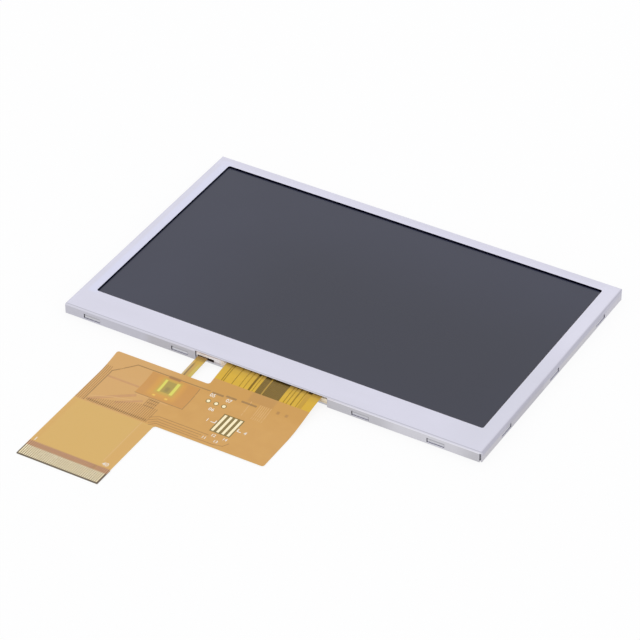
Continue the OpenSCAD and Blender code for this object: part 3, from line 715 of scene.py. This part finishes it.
@dataclass
class PrintedNumbers:
    """The white ink on the flexible circuit: pad numbers, contact numbers and corner ticks."""

    contact_height: float = 1.15
    pad_height: float = 1.0
    small_height: float = 0.85
    tick: float = 0.24
    contact_ends: Labels = (("1", (-33.2, -74.3)), ("40", (-15.6, -74.15)))
    pad_ends: Labels = (("1", (-4.9, -50.5)), ("4", (4.6, -50.5)))
    test_labels: Labels = (("05", (-8.0, -43.25)), ("07", (-3.95, -43.25)), ("06", (-6.0, -47.1)))
    touch_labels: Labels = (
        ("11", (-2.4, -56.0)), ("12", (-0.95, -54.45)), ("13", (0.5, -56.0)), ("14", (1.9, -54.45)))
    ticks: tuple[tuple[Point, ...], ...] = (
        ((-3.9, -50.65), (-2.95, -50.65), (-2.95, -49.85)),
        ((2.7, -49.9), (2.7, -50.7), (3.5, -50.7)))

    def build(self, paints: Paintbox) -> None:
        """Prints everything in one piece.

        Args:
            paints: The paintbox.
        """
        ink = Layer("number_print", WHITE_INK, COVERLAY_SLOT, FilmProfile(COVERLAY_NODE))
        rows = (
            (self.contact_ends, self.contact_height), (self.pad_ends, self.pad_height),
            (self.test_labels, self.pad_height), (self.touch_labels, self.small_height))
        for labels, height in rows:
            for text, place in labels:
                ink.number(text, place, height)
        for points in self.ticks:
            ink.path(points, self.tick)
        ink.build(paints)


@dataclass(frozen=True)
class Route:
    """One track: its width and its corners, in millimetres on the plan."""

    width: float
    corners: tuple[Point, ...]


@dataclass(frozen=True)
class Row:
    """Tracks side by side: the first one's place along x, their number and their ends along y."""

    first: float
    count: int
    ends: Span
    width: float
    lean: float = 0.0

    def routes(self, pitch: float) -> list[Route]:
        """Gives the tracks of the row, one for each step of the pitch."""
        places = [self.first + i * pitch for i in range(self.count)]
        return [Route(self.width, ((x - self.lean, self.ends[0]), (x, self.ends[1])))
                for x in places]


@dataclass
class CircuitTracks:
    """The copper tracks that show through the coverlay of the main circuit."""

    depth: float = 0.012
    field_depth: float = 0.010
    pitch: float = 0.5
    line: float = 0.17
    tail_turn: float = -57.85

    wide_fields: tuple[Route, ...] = (
        Route(0.9, ((-31.0, -57.0), (-27.0, -54.0), (-23.0, -51.2))),
        Route(0.7, ((-25.2, -55.2), (-20.6, -52.2))),
        Route(0.6, ((-31.9, -48.3), (-24.0, -48.3))),
    )

    light_tracks: tuple[Route, ...] = (
        Route(0.2, ((-31.8, -56.2), (-27.0, -54.1), (-22.5, -52.9))),
        Route(0.2, ((-16.6, -58.3), (-16.6, -73.2))),
    )
    light_columns: tuple[float, ...] = (0.67, 3.07, 3.57, 4.07, 4.57, 5.07, 5.66)
    light_ends: Span = (-41.3, -45.7)
    light_line: float = 0.16
    light_cross: Route = Route(0.14, ((-22.9, -50.6), (-15.0, -50.6)))

    tail_edge: Row = Row(-33.9, 4, (-45.3, tail_turn), line, lean=0.12)
    comb_first: float = -31.0
    comb_count: int = 31
    comb_foot: float = -56.8
    comb_rise: float = 3.8
    comb_run: float = 11.0
    joint_row: Row = Row(-19.6, 6, (-53.0, -50.6), line)
    pad_lines: tuple[Point, ...] = ((-2.0, -54.8), (-3.3, -55.6), (-3.6, -56.4), (0.5, -57.1))
    pad_start: float = -16.2
    pad_start_step: float = 0.4
    pad_turn: float = -14.4
    pad_turn_step: float = 0.2
    pad_drop: float = 1.2
    last_pad_line: Route = Route(line, ((0.4, -57.1), (2.6, -56.6), (3.4, -55.2)))

    edge_tracks: tuple[Route, ...] = (
        Route(0.26, ((-31.95, tail_turn), (-31.95, -46.4), (-27.65, -42.45), (-9.2, -42.35))),
        Route(0.16, ((-23.65, -50.2), (-11.5, -50.2), (-11.5, -42.9))),
        Route(0.14, ((-14.2, -54.8), (-4.0, -54.8))),
        Route(0.5, ((-8.4, -42.5), (-5.9, -42.5))),
        Route(0.5, ((-5.0, -42.2), (-2.8, -42.2))),
        Route(0.5, ((-1.2, -42.1), (2.2, -42.1))),
    )

    comb_vias: Row = Row(comb_first - 0.4, comb_count, (-57.6, -57.05), 0.2)
    dash_rows: tuple[float, ...] = (-50.9, -51.9, -53.1)
    dash_first: float = -19.35
    dash_count: int = 5
    dash_run: float = 0.25
    dash_width: float = 0.18
    tail_mark: Route = Route(0.4, ((-17.0, -75.3), (-17.0, -76.5)))

    def light_routes(self) -> list[Route]:
        """Gives the pale tracks, with those that run down from the strap."""
        columns = [Route(self.light_line, tuple((x, end) for end in self.light_ends))
                   for x in self.light_columns]
        return [*self.light_tracks, *columns, self.light_cross]

    def comb_routes(self) -> list[Route]:
        """Gives the comb at the tail's turn, whose tracks lengthen until the comb is level.

        Returns:
            The tracks, from the tail's outer edge on.
        """
        routes = []
        for i in range(self.comb_count):
            across = i * self.pitch
            x = self.comb_first + across
            top = self.comb_foot + min(across / self.comb_run, 1.0) * self.comb_rise
            routes.append(Route(self.line, ((x, self.tail_turn), (x, top))))
        return routes

    def pad_routes(self) -> list[Route]:
        """Gives the tracks that fan out to the touch pads.

        Returns:
            The tracks, the innermost first.
        """
        routes = []
        for i, (end, y) in enumerate(self.pad_lines):
            start = (self.pad_start + i * self.pad_start_step, y - self.pad_drop)
            turn = (self.pad_turn + i * self.pad_turn_step, y)
            routes.append(Route(self.line, (start, turn, (end, y))))
        return [*routes, self.last_pad_line]

    def bundle_routes(self) -> list[Route]:
        """Gives the tracks of the tail's edge, the comb, the joint and the touch pads."""
        return [*self.tail_edge.routes(self.pitch), *self.comb_routes(),
                *self.joint_row.routes(self.pitch), *self.pad_routes()]

    def via_routes(self) -> list[Route]:
        """Gives the short marks of the vias, along the comb and in rows by the joint."""
        places = [self.dash_first + i * self.pitch for i in range(self.dash_count)]
        dashes = [Route(self.dash_width, ((x, y), (x + self.dash_run, y)))
                  for y in self.dash_rows for x in places]
        return [*self.comb_vias.routes(self.pitch), *dashes, self.tail_mark]

    def build(self, paints: Paintbox) -> None:
        """Lays the tracks, one piece for each tone.

        Args:
            paints: The paintbox.
        """
        tones = (
            ("track_fields", TRACK_ROSE, self.field_depth, self.wide_fields),
            ("track_lights", TRACK_LIGHT, self.depth, self.light_routes()),
            ("track_bundles", TRACK_SHADE, self.depth, self.bundle_routes()),
            ("track_edges", TRACK_DARK, self.depth, self.edge_tracks),
            ("track_vias", TRACK_DEEP, self.depth, self.via_routes()),
        )
        profile = FilmProfile(COVERLAY_NODE)
        for name, finish, depth, routes in tones:
            layer = Layer(name, finish, COVERLAY_SLOT, profile, thickness=depth)
            for route in routes:
                layer.path(route.corners, route.width)
            layer.build(paints)


# ---------------------------------------------------------------------- stage


@dataclass
class Studio:
    """The floor, the lamps, the world and the camera."""

    floor_half: float = 6.0
    floor_tone: str = "#F8F8FA"
    floor_glow: float = 0.86
    world_light: float = 0.88
    key_power: float = 4.0
    key_size: float = 1.1
    key_place: tuple[float, float, float] = (0.15, 0.45, 1.6)
    lens: float = 191.08
    sensor: float = 36.0
    far: float = 50.0
    camera_place: tuple[float, float, float] = (0.304176, -0.528988, 0.457569)
    camera_aim: tuple[float, float, float] = (-0.002091, -0.007358, 0.0)
    camera_roll: float = -0.1806

    def seen(self, sheet: Sheet) -> bpy.types.NodeSocket:
        """Marks the rays that show the background: the camera's, and those in gloss or glass.

        Args:
            sheet: The tree of the floor or the world.

        Returns:
            The socket of the mark, 0 or 1.
        """
        rays = sheet.add("ShaderNodeLightPath").outputs
        total = rays["Is Camera Ray"]
        for name in ("Is Glossy Ray", "Is Transmission Ray"):
            total = sheet.add("ShaderNodeMath", {0: total, 1: rays[name]},
                              operation="MAXIMUM").outputs[0]
        return total

    def floor(self) -> None:
        """Lays the pale plain floor, white to the eye and with the object's shadow on it."""
        sheet = Sheet(bpy.data.materials.new("studio_floor"))
        glow = sheet.add("ShaderNodeMath", {0: self.seen(sheet), 1: self.floor_glow},
                         operation="MULTIPLY")
        plain = sheet.add("ShaderNodeBsdfDiffuse", {"Color": linear(self.floor_tone)})
        white = sheet.add("ShaderNodeEmission", {"Strength": 1.0})
        surface = sheet.finish(sheet.add("ShaderNodeMixShader", {
            0: glow.outputs[0], 1: plain.outputs[0], 2: white.outputs[0]}))
        shape = bmesh.new()
        bmesh.ops.create_grid(shape, x_segments=1, y_segments=1, size=self.floor_half)
        mesh = bpy.data.meshes.new("floor")
        shape.to_mesh(mesh)
        shape.free()
        mesh.materials.append(surface)
        floor = bpy.data.objects.new("floor", mesh)
        bpy.context.scene.collection.objects.link(floor)

    def world(self) -> None:
        """Sets the even light of the room, white where it is seen."""
        world = bpy.data.worlds.new("room")
        bpy.context.scene.world = world
        sheet = Sheet(world)
        strength = sheet.add("ShaderNodeMapRange", {
            "Value": self.seen(sheet), "To Min": self.world_light, "To Max": 1.0})
        light = sheet.add("ShaderNodeBackground", {
            "Color": linear("#FFFFFF"), "Strength": strength.outputs[0]})
        sheet.add("ShaderNodeOutputWorld", {"Surface": light.outputs[0]})

    def key_lamp(self) -> None:
        """Hangs the soft lamp over the module, a little behind it."""
        lamp = bpy.data.lights.new("key_lamp", "AREA")
        lamp.energy, lamp.size = self.key_power, self.key_size
        holder = bpy.data.objects.new("key_lamp", lamp)
        holder.location = self.key_place
        holder.rotation_euler = (-Vector(self.key_place)).to_track_quat("-Z", "Y").to_euler()
        holder.visible_glossy = False
        bpy.context.scene.collection.objects.link(holder)

    def camera(self) -> None:
        """Sets up the camera."""
        data = bpy.data.cameras.new("camera")
        data.lens, data.sensor_width = self.lens, self.sensor
        data.clip_end = self.far
        holder = bpy.data.objects.new("camera", data)
        place, aim = Vector(self.camera_place), Vector(self.camera_aim)
        turn = (aim - place).to_track_quat("-Z", "Y").to_matrix().to_4x4()
        roll = Matrix.Rotation(math.radians(self.camera_roll), 4, "Z")
        holder.matrix_world = Matrix.Translation(place) @ turn @ roll
        bpy.context.scene.collection.objects.link(holder)
        bpy.context.scene.camera = holder

    def build(self) -> None:
        """Sets up the whole studio."""
        bpy.context.scene.view_settings.view_transform = "Standard"
        self.floor()
        self.world()
        self.key_lamp()
        self.camera()
        LOG.info("studio ready")


def main() -> None:
    """Builds the looks in order."""
    logging.basicConfig(level=logging.INFO, format="%(name)s %(message)s")
    paints = Paintbox()
    Studio().build()
    DisplayBody().build(paints)
    PrintedNumbers().build(paints)
    CircuitTracks().build(paints)


if __name__ == "__main__":
    main()
